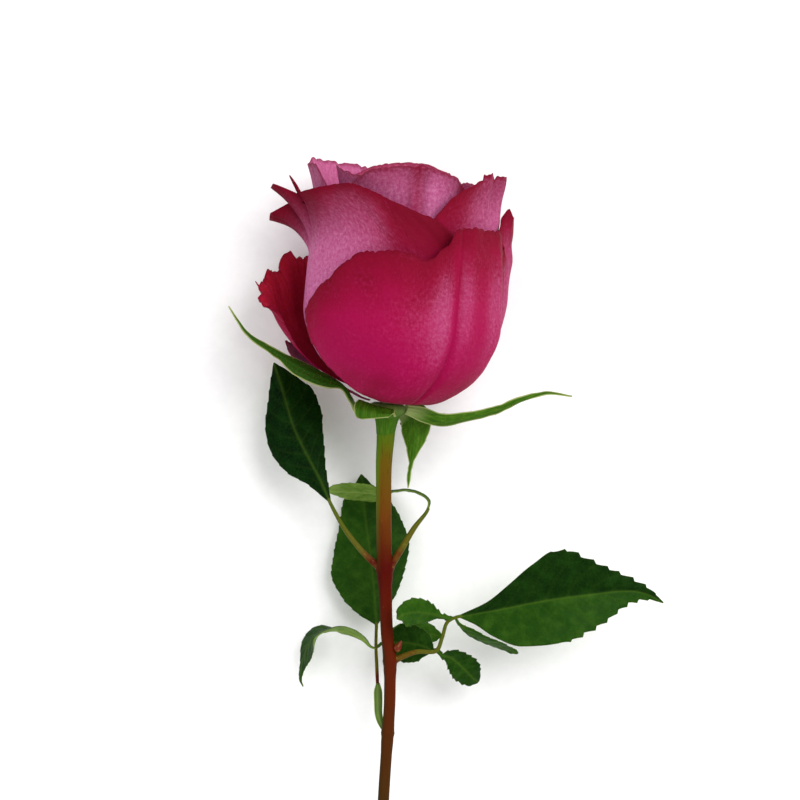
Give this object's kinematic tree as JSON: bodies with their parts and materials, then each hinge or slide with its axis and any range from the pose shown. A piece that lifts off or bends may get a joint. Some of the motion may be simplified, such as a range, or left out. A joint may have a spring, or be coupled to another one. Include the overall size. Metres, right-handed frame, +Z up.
{
  "type": "cut rose",
  "caption": "Half-open magenta rose lying on its side, with cupped overlapping petals, thin drooping sepals, serrated leaves and a bare cut stem.",
  "frame": {"origin": "on the table under the middle of the whole flower, as it lies", "axes": "+Z up from the table, +Y along the stem towards the bloom, +X to the bloom's right as seen from above"},
  "size_m": [0.1096, 0.2992, 0.0517],
  "materials": {
    "petal": "satin",
    "calyx": "satin",
    "leaf": "satin",
    "stem": "satin"
  },
  "bodies": {
    "root": {"bare_bud_1": "stem", "bare_bud_2": "stem", "bare_bud_3": "stem", "hip": "calyx", "lower_leaf_left": "leaf", "lower_leaf_right": "leaf", "lower_leaf_stalk": "stem", "lower_leaf_stipule": "leaf", "lower_leaf_terminal": "leaf", "middle_bud": "stem", "middle_leaf_inner_left": "leaf", "middle_leaf_inner_right": "leaf", "middle_leaf_outer_left": "leaf", "middle_leaf_outer_right": "leaf", "middle_leaf_stalk": "stem", "middle_leaf_terminal": "leaf", "petal_back": "petal", "petal_back_second": "petal", "petal_creased_right": "petal", "petal_crown_front": "petal", "petal_flared_left": "petal", "petal_front": "petal", "petal_guard_left": "petal", "petal_heart_01": "petal", "petal_heart_02": "petal", "petal_heart_03": "petal", "petal_heart_04": "petal", "petal_heart_05": "petal", "petal_heart_06": "petal", "petal_heart_07": "petal", "petal_heart_08": "petal", "petal_heart_09": "petal", "petal_heart_10": "petal", "petal_heart_11": "petal", "petal_heart_12": "petal", "petal_open_left": "petal", "petal_right": "petal", "petal_right_second": "petal", "petal_tall_left": "petal", "sepal_back": "calyx", "sepal_drooping": "calyx", "sepal_front": "calyx", "sepal_left": "calyx", "sepal_right": "calyx", "stem": "stem", "upper_left_blade": "leaf", "upper_left_stalk": "stem", "upper_right_blade": "leaf", "upper_right_stalk": "stem"}
  },
  "joints": []
}
